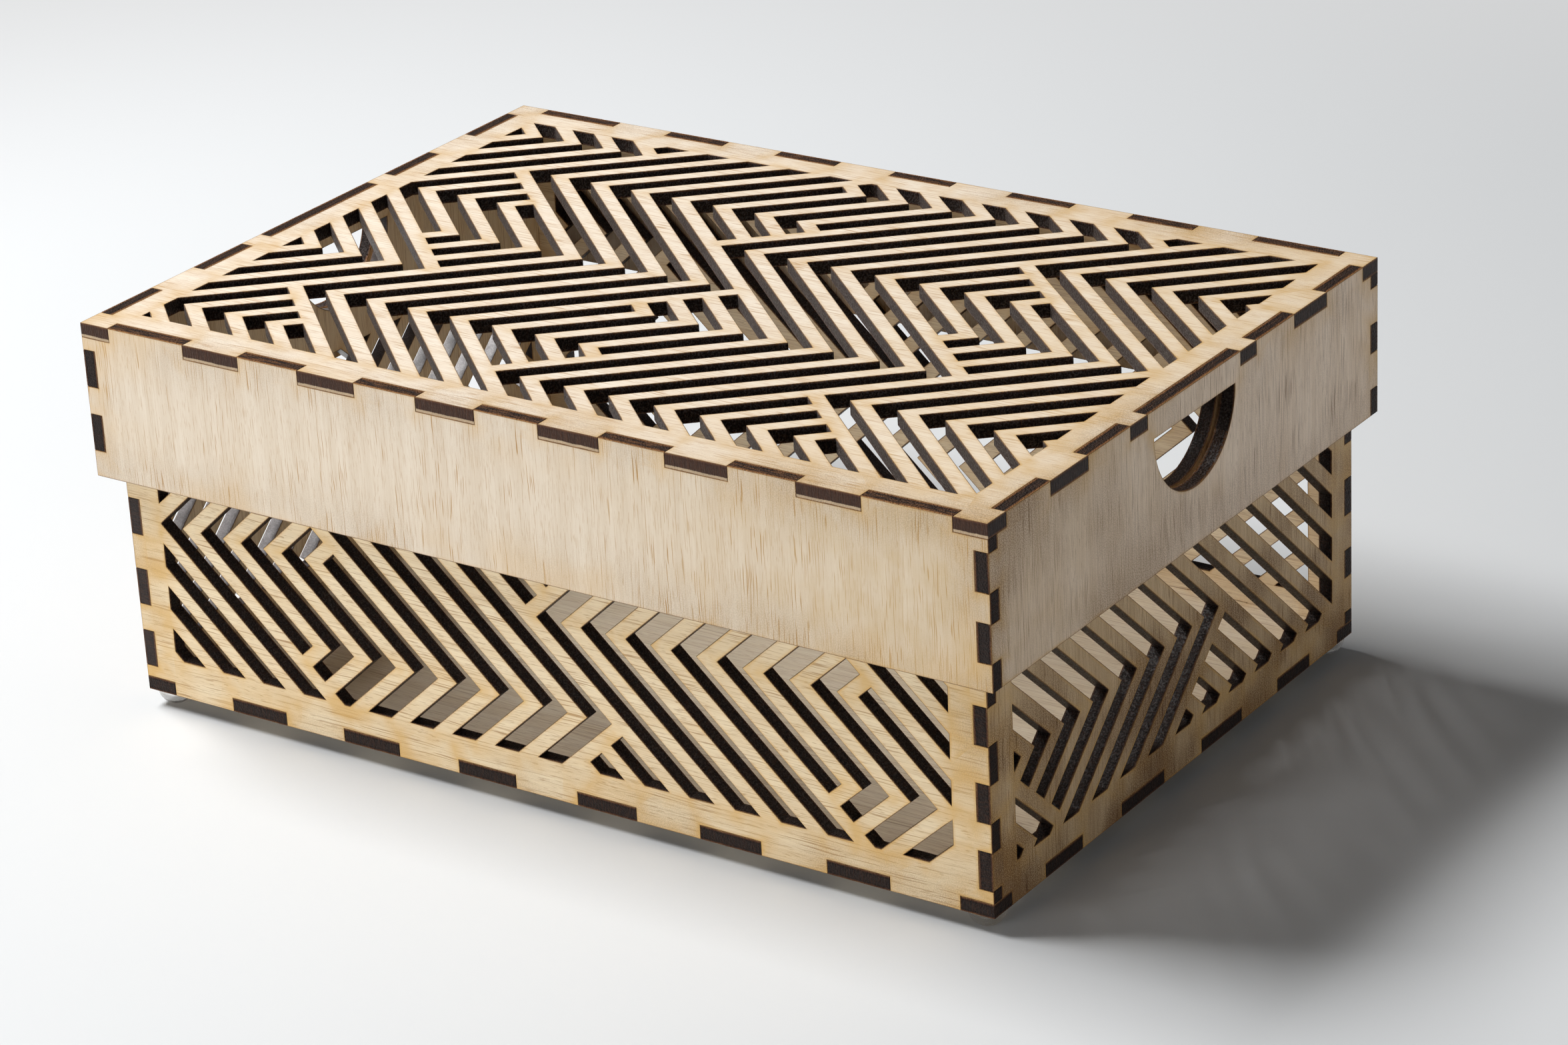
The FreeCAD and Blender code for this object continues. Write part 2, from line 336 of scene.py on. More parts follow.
@dataclass(frozen=True)
class Veneer:
    """Raw face veneer, pale with brown pores, browned where the laser passed.

    Sizes are in millimetres, a share is the weight of a mark, a step is where a noise turns into a
    mark, and a floor is what is left of a mark between the patches of a noise.
    """

    name: str
    grain: Grain
    pale: Colour
    tan: Colour
    pore: Colour
    streak_share: float = 0.5
    streak_length: float = 14.0
    streak_width: float = 0.5
    streak_start: float = 0.58
    streak_drift: float = 0.0
    fleck_share: float = 0.35
    fibre_share: float = 0.26
    amber_share: float = 0.7
    # Soot and smoke drift: real stains, and on the end walls also painted shade.
    soot_and_shade_share: float = 0.35
    soot_and_shade_reach: float = 0.0
    smoke_and_shade_share: float = 0.0
    smoke_tint: float = 0.0
    smoke_and_shade_axis: Axis = Axis.X
    smoke_and_shade_start: float = -10.0
    smoke_and_shade_end: float = 170.0
    seed: float = 0.0
    amber: Colour = (0.68, 0.42, 0.14)
    burnt: Colour = (0.13, 0.055, 0.018)
    soot: Colour = (0.34, 0.26, 0.19)
    haze: Colour = (0.54, 0.36, 0.13)

    # The grain of the wood
    sway: GrainNoise = GrainNoise(60.0, 24.0)
    sway_reach: float = 2.6
    ripple: GrainNoise = GrainNoise(16.0, 5.0, 3.1)
    ripple_reach: float = 0.7
    bands: GrainNoise = GrainNoise(150.0, 5.0, 7.7, 3.0, 0.55)
    band_step: Step = (0.30, 0.72)
    fibre: GrainNoise = GrainNoise(22.0, 0.33, 1.3, 2.0, 0.6)
    fibre_step: Step = (0.34, 0.74)
    streak_seed: float = 5.9
    streak_rough: float = 0.4
    streak_soft: float = 0.06
    streak_floor: float = 0.25
    stands: GrainNoise = GrainNoise(45.0, 12.0, 2.2)
    stand_step: Step = (0.34, 0.62)
    flecks: GrainNoise = GrainNoise(4.5, 0.36, 8.4, 1.0)
    fleck_step: Step = (0.61, 0.69)
    fleck_thinning: float = 0.6

    # The laser's marks
    patch_size: float = 11.0
    patch_step: Step = (0.34, 0.66)
    haze_floor: float = 0.6
    halo_power: float = 1.2
    halo_base: float = 0.25
    halo_patch: float = 0.55
    halo_dwell: float = 0.30
    glow_share: float = 0.60
    glow_floor: float = 0.30
    stain_share: float = 0.5
    stain_size: float = 26.0
    stain_step: Step = (0.46, 0.72)
    grit_size: float = 0.4
    grit_step: Step = (0.36, 0.66)
    grit_floor: float = 0.3
    cloud_size: float = 40.0
    cloud_shift: float = 11.0
    cloud_step: Step = (0.38, 0.66)
    cloud_floor: float = 0.25
    burnt_share: float = 0.88
    burnt_step: Step = (0.58, 0.94)

    # The feel of the surface
    roughness: float = 0.50
    fibre_roughness: float = 0.10
    streak_roughness: float = 0.08
    specular: float = 0.25
    relief: float = 0.06
    relief_strength: float = 0.35
    streak_depth: float = 0.8
    fleck_depth: float = 0.5

    def material(self) -> bpy.types.Material:
        """Makes the veneer's material.

        Returns:
            A material that reads object coordinates and the scorch, dwell and border attributes.
        """
        tree = ShaderTree(self.name)
        place = tree.place()
        x, y, z = place
        # Drift along one axis; on the end walls it paints shade that darkens towards the bottom.
        drift = place[self.smoke_and_shade_axis.value].rise(self.smoke_and_shade_start, self.smoke_and_shade_end)
        along, across = (x, y + z) if self.grain is Grain.LENGTHWISE else (z, x + y)
        sway = self.sway.add(tree, along, across, self.seed) - 0.5
        ripple = self.ripple.add(tree, along, across, self.seed) - 0.5
        across = across + self.sway_reach * sway + self.ripple_reach * ripple

        bands = self.bands.add(tree, along, across, self.seed).rise(*self.band_step)
        fibre = self.fibre.add(tree, along, across, self.seed)
        long_pores = GrainNoise(
            self.streak_length, self.streak_width, self.streak_seed, 1.0, self.streak_rough
        )
        pores = long_pores.add(tree, along, across, self.seed) + self.streak_drift * drift
        streaks = pores.rise(self.streak_start, self.streak_start + self.streak_soft)
        stands = self.stands.add(tree, along, across, self.seed).rise(*self.stand_step)
        flecks = self.flecks.add(tree, along, across, self.seed).rise(*self.fleck_step)

        colour = tree.mix(bands, self.pale, self.tan)
        colour = tree.mix(self.fibre_share * fibre.rise(*self.fibre_step), colour, self.pore)
        streaked = self.streak_share * streaks * stands.lifted(self.streak_floor)
        colour = tree.mix(streaked, colour, self.pore)
        flecked = self.fleck_share * flecks * (1.0 - self.fleck_thinning * stands)
        colour = tree.mix(flecked, colour, self.pore)
        colour = self._browned(tree, colour, place, drift)

        rough = self.roughness + self.fibre_roughness * fibre + self.streak_roughness * streaks
        height = fibre - self.streak_depth * streaks - self.fleck_depth * flecks
        tree.bump(height, self.relief_strength, self.relief * MM)
        return tree.finish(Base_Color=colour, Roughness=rough, Specular_IOR_Level=self.specular)

    def _browned(
        self, tree: ShaderTree, colour: Sock, place: tuple[Sock, Sock, Sock], drift: Sock
    ) -> Sock:
        """Adds the laser's marks.

        Args:
            tree: the material's tree.
            colour: the clean wood.
            place: X, Y and Z in millimetres.
            drift: how far the smoke stain, and on the end walls the painted shade, has drifted here,
                from 0 to 1.

        Returns:
            The wood with haze, amber halos, soot that is partly painted shade, and dark cut lines.
        """
        scorch = tree.attribute(SCORCH)
        dwell = tree.attribute(DWELL)
        border = tree.attribute(BORDER)
        patch = tree.mottle(place, self.patch_size).rise(*self.patch_step)
        # Strength of the drift, which on the end walls deepens the painted shade.
        smoke = 1.0 + self.smoke_and_shade_share * drift

        hazy = self.smoke_tint * drift * patch.lifted(self.haze_floor)
        colour = tree.mix(hazy, colour, self.haze)
        warmth = self.halo_base + self.halo_patch * patch + self.halo_dwell * dwell
        halo = self.amber_share * smoke * (scorch ** self.halo_power * warmth)
        colour = tree.mix(halo.least(1.0), colour, self.amber)
        glow = (dwell * patch.lifted(self.glow_floor)).least(1.0)
        colour = tree.mix(self.glow_share * self.amber_share * glow, colour, self.amber)
        stain = tree.mottle(place, self.stain_size, shift=self.seed).rise(*self.stain_step)
        colour = tree.mix(self.stain_share * self.amber_share * stain * border, colour, self.amber)

        grit = tree.mottle(place, self.grit_size, 1.0).rise(*self.grit_step)
        drawn = tree.mottle(place, self.cloud_size, shift=self.cloud_shift + self.seed)
        cloud = drawn.rise(*self.cloud_step).lifted(self.cloud_floor)
        # Where the soot lies, which on the end walls also spreads painted shade over the whole face.
        soot_and_shade_mask = border.lifted(self.soot_and_shade_reach) * grit.lifted(self.grit_floor)
        soot = self.soot_and_shade_share * smoke * cloud * soot_and_shade_mask
        colour = tree.mix(soot.least(1.0), colour, self.soot, "MULTIPLY")
        return tree.mix(self.burnt_share * scorch.rise(*self.burnt_step), colour, self.burnt)


@dataclass(frozen=True)
class CharredEdge:
    """The burnt cut face of a sheet: dark core between browned face veneers.

    Sizes are in millimetres, except that the width of the rim and its stops are shares of the
    sheet's thickness and of that width. Near the sheet's border, calm takes off the grit. On the
    long sides, which lie that far from the middle, it also leaves a band of bare inner veneer.
    """

    name: str
    across: Axis
    core: Colour = (0.023, 0.0165, 0.0145)
    ember: Colour = (0.095, 0.040, 0.021)
    rim: Colour = (0.30, 0.165, 0.065)
    # Colour of the painted glints: pale specks that stand in for highlights on the char's grit.
    painted_glint: Colour = (0.15, 0.128, 0.125)
    rim_width: float = 0.10
    ember_share: float = 0.30
    painted_glint_share: float = 0.9
    gloss: float = 0.5
    smooth: float = 0.0
    calm: float = 0.0
    calm_ember: float = 0.4
    calm_step: Step = (0.75, 0.88)
    long_side: Step = (121.6, 121.8)
    bare: Colour = (0.60, 0.45, 0.29)
    bare_start: Step = (0.77, 0.83)
    bare_end: Step = (0.95, 0.99)
    bare_floor: float = 0.6
    sheen: float = 0.0
    sheen_tint: Colour = (1.0, 0.88, 0.82)
    sheen_roughness: float = 0.3
    line_depth: float = 3.0
    line_width: float = 0.35
    line_step: Step = (0.42, 0.72)
    patch_size: float = 6.0
    grit_size: float = 0.62
    grit_step: Step = (0.40, 0.72)
    waver_patch: float = 0.10
    waver_grit: float = 0.05
    ember_stop: float = 0.5
    soot_stop: float = 1.6
    core_stop: float = 2.6
    soot_tone: float = 0.5
    border_dulling: float = 0.9
    painted_glint_floor: float = 0.2
    gloss_floor: float = 0.1
    gloss_patch: float = 0.2
    roughness: float = 0.40
    patch_roughness: float = 0.26
    specular: float = 0.10
    coat_roughness: float = 0.28
    relief: float = 0.9
    line_relief: float = 0.4

    def material(self) -> bpy.types.Material:
        """Makes the cut face's material.

        Returns:
            A material banded by the ply depth attribute, and duller near the border.
        """
        tree = ShaderTree(self.name)
        place = tree.place()
        patch = tree.mottle(place, self.patch_size)
        grit = tree.mottle(place, self.grit_size, 1.0)
        grain = grit.rise(*self.grit_step).lifted(self.smooth)
        sizes = [self.line_depth if axis is self.across else self.line_width for axis in Axis]
        lines = tree.noise(tuple(value / size for value, size in zip(place, sizes)))

        waver = self.waver_patch * (patch - 0.5) + self.waver_grit * (grit - 0.5)
        depth = tree.attribute(PLY_DEPTH) + waver
        colour = tree.node("ShaderNodeValToRGB", {"stops": self._bands()}, {0: depth})
        border = tree.attribute(BORDER)
        inner, calm = 1.0 - self.border_dulling * border, self.calm * border
        reach = place[Axis.Y.value]
        facing = calm * (reach * reach).rise(*(limit**2 for limit in self.long_side))
        ember = self.ember_share * lines.rise(*self.line_step) + self.calm_ember * facing
        colour = tree.mix(ember.least(1.0), colour, self.ember)
        # Painted glints: pale specks of the grit put into the colour as painted highlights, fewer near
        # the border.
        painted_glints = self.painted_glint_share * inner * grain * (self.painted_glint_floor + patch)
        colour = tree.mix(painted_glints.least(1.0), colour, self.painted_glint)
        unburnt = depth.rise(*self.bare_start) * (1.0 - depth.rise(*self.bare_end))
        unburnt = facing.rise(*self.calm_step) * unburnt * patch.lifted(self.bare_floor)
        colour = tree.mix(unburnt, colour, self.bare)

        rough_grit = (1.0 - self.smooth) * (1.0 - calm) * grit
        tree.bump(rough_grit + self.line_relief * lines, 1.0, self.relief * MM)
        coat = self.gloss * (self.gloss_floor + grain) * patch.lifted(self.gloss_patch) * inner
        return tree.finish(
            Base_Color=colour, Roughness=self.roughness + self.patch_roughness * patch,
            Specular_IOR_Level=self.specular, Coat_Weight=coat.least(1.0),
            Coat_Roughness=self.coat_roughness, Sheen_Weight=self.sheen,
            Sheen_Roughness=self.sheen_roughness, Sheen_Tint=self.sheen_tint,
        )

    def _bands(self) -> list[tuple[float, Colour]]:
        """Lays out the colours from one veneer to the other.

        Returns:
            Shares of the thickness, each with its colour.
        """
        soot = tuple(value * self.soot_tone for value in self.core)
        marks = ((self.ember_stop, self.ember), (self.soot_stop, soot), (self.core_stop, self.core))
        half = [(0.0, self.rim)] + [(stop * self.rim_width, colour) for stop, colour in marks]
        return half + [(1.0 - place, colour) for place, colour in reversed(half)]


@dataclass(frozen=True)
class ClearRubber:
    """Clear soft plastic of the stick-on feet."""

    name: str = "clear_rubber"
    tint: Colour = (0.80, 0.77, 0.72)
    body: float = 0.5
    transmission: float = 0.96
    refraction: float = 1.47
    roughness: float = 0.03
    cloud_roughness: float = 0.06
    cloud_size: float = 3.0

    def material(self) -> bpy.types.Material:
        """Makes the clear material.

        Returns:
            A see-through material with a faint cloudiness.
        """
        tree = ShaderTree(self.name)
        cloud = tree.mottle(tree.place(), self.cloud_size)
        return tree.finish(
            Base_Color=self.tint, Roughness=self.roughness + self.cloud_roughness * cloud,
            Transmission_Weight=self.transmission, IOR=self.refraction, Alpha=self.body,
        )


@dataclass(frozen=True)
class PaperSweep:
    """Matt white paper under the box, which goes over into a plain pale backdrop far from it."""

    name: str = "white_paper"
    tone: Colour = (0.765, 0.78, 0.79)
    roughness: float = 0.62
    tooth_roughness: float = 0.1
    tooth_size: float = 1.5
    specular: float = 0.3
    far_tone: Colour = (0.72, 0.72, 0.72)
    far_start: float = 520.0
    far_end: float = 1150.0

    def material(self) -> bpy.types.Material:
        """Makes the paper's material.

        Returns:
            A matt near-white with a very faint tooth, evenly pale in the distance.
        """
        tree = ShaderTree(self.name)
        place = tree.place()
        tooth = tree.mottle(place, self.tooth_size)
        paper = tree.finish(
            Base_Color=self.tone, Roughness=self.roughness + self.tooth_roughness * tooth,
            Specular_IOR_Level=self.specular,
        )
        x, y, _ = place
        far = ((x * x + y * y) ** 0.5).rise(self.far_start, self.far_end)
        rays = ("Is Camera Ray", "Is Glossy Ray", "Is Transmission Ray")
        camera, glossy, through = (tree.node("ShaderNodeLightPath", output=ray) for ray in rays)
        seen = (camera + glossy + through).least(1.0)
        backdrop = tree.node("ShaderNodeEmission", inputs={"Color": self.far_tone})
        near = Sock(tree, tree.shader.outputs["BSDF"])
        surface = tree.node("ShaderNodeMixShader", inputs={0: far * seen, 1: near, 2: backdrop})
        tree.feed(tree.nodes["Material Output"].inputs["Surface"], surface)
        return paper


class EditMode:
    """Edit mode on one object, for the length of a with block."""

    def __init__(self, piece: bpy.types.Object, element: str) -> None:
        """Keeps the piece and the kind of element to select: VERT, EDGE or FACE."""
        self.piece = piece
        self.element = element

    def __enter__(self) -> "EditMode":
        """Enters edit mode with nothing selected."""
        bpy.ops.object.select_all(action="DESELECT")
        bpy.context.view_layer.objects.active = self.piece
        self.piece.select_set(True)
        bpy.ops.object.mode_set(mode="EDIT")
        self.use(self.element)
        bpy.ops.mesh.select_all(action="DESELECT")
        return self

    def __exit__(self, *error: Any) -> None:
        """Goes back to object mode."""
        bpy.ops.object.mode_set(mode="OBJECT")

    def use(self, element: str) -> None:
        """Chooses what is selected: VERT, EDGE or FACE."""
        bpy.ops.mesh.select_mode(type=element)

    def pick_faces(self, wanted: Callable[[bmesh.types.BMFace], bool]) -> None:
        """Selects just the faces that pass a test.

        Args:
            wanted: says whether a face is selected.
        """
        self.use("FACE")
        mesh = bmesh.from_edit_mesh(self.piece.data)
        mesh.normal_update()
        for face in mesh.faces:
            face.select_set(wanted(face))
        mesh.select_flush_mode()
        bmesh.update_edit_mesh(self.piece.data)

    def pick_edges(self, wanted: Callable[[bmesh.types.BMEdge], bool]) -> None:
        """Selects just the edges that pass a test.

        Args:
            wanted: says whether an edge is selected.
        """
        self.use("EDGE")
        bpy.ops.mesh.select_all(action="DESELECT")
        mesh = bmesh.from_edit_mesh(self.piece.data)
        mesh.normal_update()
        for edge in mesh.edges:
            edge.select_set(wanted(edge))
        mesh.select_flush_mode()
        bmesh.update_edit_mesh(self.piece.data)


@dataclass
class PlySheet:
    """One flat panel: its CAD outline with eased edges and rings for the scorch to fade over.

    Sizes are in millimetres. The limits called facing, on_edge and upward are parts of a face's
    normal across the sheet, across the sheet and along Z.
    """

    node: str
    body: str
    across: Axis
    outside: int
    veneer: bpy.types.Material
    edge: bpy.types.Material
    upper_edge: Optional[bpy.types.Material] = None
    inner: Optional[bpy.types.Material] = None
    burn_line: float = 0.4
    halo: float = 1.0
    easing: float = 0.11
    cut_step: float = 5.0
    face_step: float = 10.0
    glow: float = 3.2
    glow_reach: float = 3.0
    glow_limit: float = 1.6
    border: float = 13.0
    beside_scorch: float = 0.5
    merge_gap: float = 0.005
    facing: float = 0.99
    on_edge: float = 0.5
    upward: float = 0.6
    level: float = math.radians(0.5)
    sharp: float = math.radians(30.0)
    smooth: float = math.radians(20.0)
    piece: Optional[bpy.types.Object] = field(default=None, init=False)

    def build(self) -> bpy.types.Object:
        """Models and dresses the panel.

        Returns:
            The finished piece.
        """
        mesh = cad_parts[self.node].data.copy()
        mesh.materials.clear()
        mesh.transform(Matrix.Scale(1 / MM, 4))
        self.piece = bpy.data.objects.new(self.node + "_sheet", mesh)
        bpy.context.scene.collection.objects.link(self.piece)
        self._merge()
        corners = self._corners()
        self._divide(self.cut_step, self._is_rim)
        for side in (1, -1):
            self._ring(side)
        self._divide(self.face_step, self._is_flat)
        self._ease()
        self._mark(corners)
        mesh.transform(Matrix.Scale(MM, 4))
        self._dress()
        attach(self.piece, self.body)
        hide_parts(self.node)
        log.info("%s: %d faces", self.piece.name, len(mesh.polygons))
        return self.piece

    def _faces_out(self, face: bmesh.types.BMFace, side: int) -> bool:
        """Whether a face belongs to the veneer on one side."""
        return face.normal[self.across.value] * side > self.facing

    def _veneer_faces(self, edge: bmesh.types.BMEdge) -> int:
        """How many of an edge's faces belong to a veneer."""
        return sum(abs(face.normal[self.across.value]) > self.facing for face in edge.link_faces)

    def _is_rim(self, edge: bmesh.types.BMEdge) -> bool:
        """Whether an edge lies between a veneer and a cut face."""
        return self._veneer_faces(edge) == 1

    def _is_flat(self, edge: bmesh.types.BMEdge) -> bool:
        """Whether an edge lies within a veneer."""
        return self._veneer_faces(edge) == 2

    def _corners(self) -> KDTree:
        """Collects the corners of the outline and the slots, where the laser stays longest.

        Returns:
            A tree of their places on both sides of the sheet.
        """
        shape = bmesh.new()
        shape.from_mesh(self.piece.data)
        shape.normal_update()
        upright = [edge for edge in shape.edges if self._veneer_faces(edge) == 0]
        sharp = [edge for edge in upright if edge.calc_face_angle(0.0) > self.sharp]
        places = [vertex.co.copy() for edge in sharp for vertex in edge.verts]
        shape.free()
        tree = KDTree(len(places))
        for index, place in enumerate(places):
            tree.insert(place, index)
        tree.balance()
        return tree

    def _divide(self, step: float, wanted: Callable[[bmesh.types.BMEdge], bool]) -> None:
        """Halves chosen edges until none is longer than a step.

        Args:
            step: greatest length that is left.
            wanted: says whether an edge is divided.
        """
        longest = max((b.co - a.co).length for a, b in self._ends())
        with EditMode(self.piece, "EDGE") as edit:
            for _ in range(math.ceil(math.log2(max(longest / step, 1.0)))):
                edit.pick_edges(lambda edge: edge.calc_length() > step and wanted(edge))
                bpy.ops.mesh.subdivide(number_cuts=1)

    def _ends(self) -> list[tuple[bpy.types.MeshVertex, bpy.types.MeshVertex]]:
        """Both ends of every edge of the mesh."""
        mesh = self.piece.data
        return [tuple(mesh.vertices[index] for index in edge.vertices) for edge in mesh.edges]

    def _merge(self) -> None:
        """Joins the loose triangles and makes each cut face one polygon."""
        with EditMode(self.piece, "VERT") as edit:
            bpy.ops.mesh.select_all(action="SELECT")
            bpy.ops.mesh.remove_doubles(threshold=self.merge_gap)
            edit.pick_faces(lambda face: abs(face.normal[self.across.value]) < self.on_edge)
            bpy.ops.mesh.dissolve_limited(angle_limit=self.level)

    def _ring(self, side: int) -> None:
        """Insets one side twice along every cut and fills the middle again.

        Args:
            side: 1 for the side that faces along the axis, -1 for the other.
        """
        with EditMode(self.piece, "FACE") as edit:
            edit.pick_faces(lambda face: self._faces_out(face, side))
            for width in (self.burn_line, self.halo):
                bpy.ops.mesh.inset(thickness=width, depth=0.0, use_even_offset=False)
            bpy.ops.mesh.delete(type="FACE")
            edit.use("EDGE")
            bpy.ops.mesh.select_non_manifold(
                use_wire=False, use_multi_face=False, use_non_contiguous=False, use_verts=False
            )
            bpy.ops.mesh.fill(use_beauty=True)
            bpy.ops.mesh.select_all(action="SELECT")
            bpy.ops.mesh.normals_make_consistent(inside=False)

    def _ease(self) -> None:
        """Takes the sharpness off every cut edge and corner."""
        with EditMode(self.piece, "EDGE") as edit:
            edit.pick_edges(lambda edge: edge.calc_face_angle(0.0) > self.sharp)
            bpy.ops.mesh.bevel(
                offset=self.easing, segments=1, affect="EDGES", clamp_overlap=False
            )
            bpy.ops.mesh.select_all(action="SELECT")
            bpy.ops.mesh.normals_make_consistent(inside=False)

    def _mark(self, corners: KDTree) -> None:
        """Writes how near each vertex is to the corners and to the sheet's border.

        Args:
            corners: the places where the laser stayed longest.
        """
        low, high = (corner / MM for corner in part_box(self.node))
        flat = [axis.value for axis in Axis if axis is not self.across]
        dwell, border = [], []
        for vertex in self.piece.data.vertices:
            near = corners.find_range(vertex.co, self.glow_reach * self.glow)
            heat = sum(math.exp(-((gap / self.glow) ** 2)) for _, _, gap in near)
            dwell.append(min(heat, self.glow_limit))
            inset = min(min(vertex.co[k] - low[k], high[k] - vertex.co[k]) for k in flat)
            border.append(math.exp(-((max(inset, 0.0) / self.border) ** 2)))
        self._write(DWELL, dwell)
        self._write(BORDER, border)

    def _write(self, name: str, values: list[float]) -> None:
        """Keeps one number for each vertex in the mesh."""
        attribute = self.piece.data.attributes.new(name, "FLOAT", "POINT")
        attribute.data.foreach_set("value", values)

    def _dress(self) -> None:
        """Gives faces their materials and their shading, and vertices their scorch and depth."""
        mesh = self.piece.data
        slots = {
            SheetSide.VENEER: self.veneer,
            SheetSide.EDGE: self.edge,
            SheetSide.UPPER_EDGE: self.upper_edge or self.edge,
            SheetSide.INNER: self.inner or self.veneer,
        }
        for side in SheetSide:
            mesh.materials.append(slots[side])
        cut = set()
        for polygon in mesh.polygons:
            side = self._side(polygon)
            polygon.material_index = side.value
            if side in (SheetSide.EDGE, SheetSide.UPPER_EDGE):
                cut.update(polygon.vertices)
        self._scorch(cut)
        bpy.ops.object.select_all(action="DESELECT")
        self.piece.select_set(True)
        bpy.context.view_layer.objects.active = self.piece
        bpy.ops.object.shade_smooth_by_angle(angle=self.smooth)

    def _side(self, polygon: bpy.types.MeshPolygon) -> SheetSide:
        """Tells the side of the sheet that a face belongs to.

        Args:
            polygon: the face.

        Returns:
            Its side, where cut faces that look up are upper edges.
        """
        outward = polygon.normal[self.across.value] * self.outside
        if abs(outward) < self.facing:
            return SheetSide.UPPER_EDGE if polygon.normal.z > self.upward else SheetSide.EDGE
        return SheetSide.VENEER if outward > 0.0 else SheetSide.INNER

    def _scorch(self, cut: set[int]) -> None:
        """Writes how burnt each vertex is, and how deep it lies in the sheet.

        Args:
            cut: the vertices of the cut faces.
        """
        mesh = self.piece.data
        scorch = [1.0 if index in cut else 0.0 for index in range(len(mesh.vertices))]
        for edge in mesh.edges:
            first, second = edge.vertices
            if (first in cut) != (second in cut):
                scorch[second if first in cut else first] = self.beside_scorch
        self._write(SCORCH, scorch)

        axis = self.across.value
        low, high = (corner[axis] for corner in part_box(self.node))
        start, end = (high, low) if self.outside > 0 else (low, high)
        self._write(PLY_DEPTH, [(vertex.co[axis] - start) / (end - start) for vertex in mesh.vertices])


@dataclass
class WallBox:
    """The open box: a floor and four fretwork walls."""

    body: str = "box"
    wall_pale: Colour = (0.84, 0.70, 0.48)
    wall_tan: Colour = (0.77, 0.61, 0.39)
    wall_pore: Colour = (0.34, 0.18, 0.07)
    # The end walls' tones are darker than the long walls': painted shade for the shaded sides.
    end_pale_with_painted_light: Colour = (0.71, 0.53, 0.32)
    end_tan_with_painted_light: Colour = (0.60, 0.43, 0.245)
    end_pore: Colour = (0.27, 0.15, 0.065)
    # Floor and inner faces are paler than the outer walls: painted light for the light that reaches
    # into the box.
    floor_pale_with_painted_light: Colour = (0.96, 0.87, 0.71)
    floor_tan_with_painted_light: Colour = (0.92, 0.81, 0.63)
    inner_pale_with_painted_light: Colour = (0.95, 0.84, 0.65)
    inner_tan_with_painted_light: Colour = (0.90, 0.77, 0.56)

    def build(self) -> list[bpy.types.Object]:
        """Models the floor and the walls.

        Returns:
            The five panels.
        """
        # The long walls get hazier and sootier towards +X.
        long_veneer = Veneer(
            "long_wall_veneer", Grain.LENGTHWISE, self.wall_pale, self.wall_tan, self.wall_pore,
            streak_share=0.75, streak_length=24.0, streak_width=0.48, streak_start=0.595,
            fleck_share=0.6, fibre_share=0.20, amber_share=1.25,
            smoke_and_shade_share=0.5, smoke_tint=0.12, seed=4.0,
        ).material()
        # On the end walls the soot all over, and its drift down along Z, are partly soot and partly
        # painted shade: darker overall and darker towards the bottom.
        end_veneer_with_painted_light = Veneer(
            "end_wall_veneer_with_painted_shade", Grain.UPRIGHT, self.end_pale_with_painted_light, self.end_tan_with_painted_light, self.end_pore,
            streak_share=0.9, streak_length=13.0, streak_width=0.40, streak_start=0.58,
            amber_share=0.9, soot_and_shade_share=0.8, soot_and_shade_reach=0.7, smoke_and_shade_share=1.7,
            smoke_and_shade_axis=Axis.Z, smoke_and_shade_start=95.0, smoke_and_shade_end=25.0, seed=9.0,
        ).material()
        floor_veneer_with_painted_light = Veneer(
            "floor_veneer_with_painted_light", Grain.LENGTHWISE, self.floor_pale_with_painted_light, self.floor_tan_with_painted_light, self.wall_pore,
            streak_share=0.4, streak_length=26.0, seed=14.0,
        ).material()
        inner_long_with_painted_light, inner_end_with_painted_light = (
            Veneer(
                "inner_veneer_with_painted_light_" + name, grain, self.inner_pale_with_painted_light, self.inner_tan_with_painted_light, self.wall_pore,
                streak_share=0.4, streak_length=20.0, soot_and_shade_share=0.2, seed=17.0,
            ).material()
            for name, grain in (("long", Grain.LENGTHWISE), ("end", Grain.UPRIGHT))
        )
        # Copies of one char that differ in painted glints and gloss: the left wall's cut faces are a
        # lit copy with many glints as painted reflection, the right wall's and the long walls' are
        # shaded copies with few.
        level, facing_y, shaded_right_cut, lit_left_cut = (
            CharredEdge(
                "charred_edge_" + name, axis, painted_glint_share=share, gloss=gloss, smooth=smooth
            ).material()
            for name, axis, share, gloss, smooth in (
                ("level", Axis.Z, 0.3, 0.5, 0.0), ("long", Axis.Y, 0.3, 0.5, 0.0),
                ("right", Axis.X, 0.3, 0.45, 0.0), ("left", Axis.X, 1.3, 1.3, 0.7),
            )
        )
        sheets = [
            PlySheet("floor_panel", self.body, Axis.Z, -1, floor_veneer_with_painted_light, level),
            PlySheet("front_wall", self.body, Axis.Y, -1, long_veneer, facing_y, inner=inner_long_with_painted_light),
            PlySheet("rear_wall", self.body, Axis.Y, 1, long_veneer, facing_y, inner=inner_long_with_painted_light),
            PlySheet("right_wall", self.body, Axis.X, 1, end_veneer_with_painted_light, shaded_right_cut, inner=inner_end_with_painted_light),
            PlySheet("left_wall", self.body, Axis.X, -1, end_veneer_with_painted_light, lit_left_cut, inner=inner_end_with_painted_light),
        ]
        return [sheet.build() for sheet in sheets]


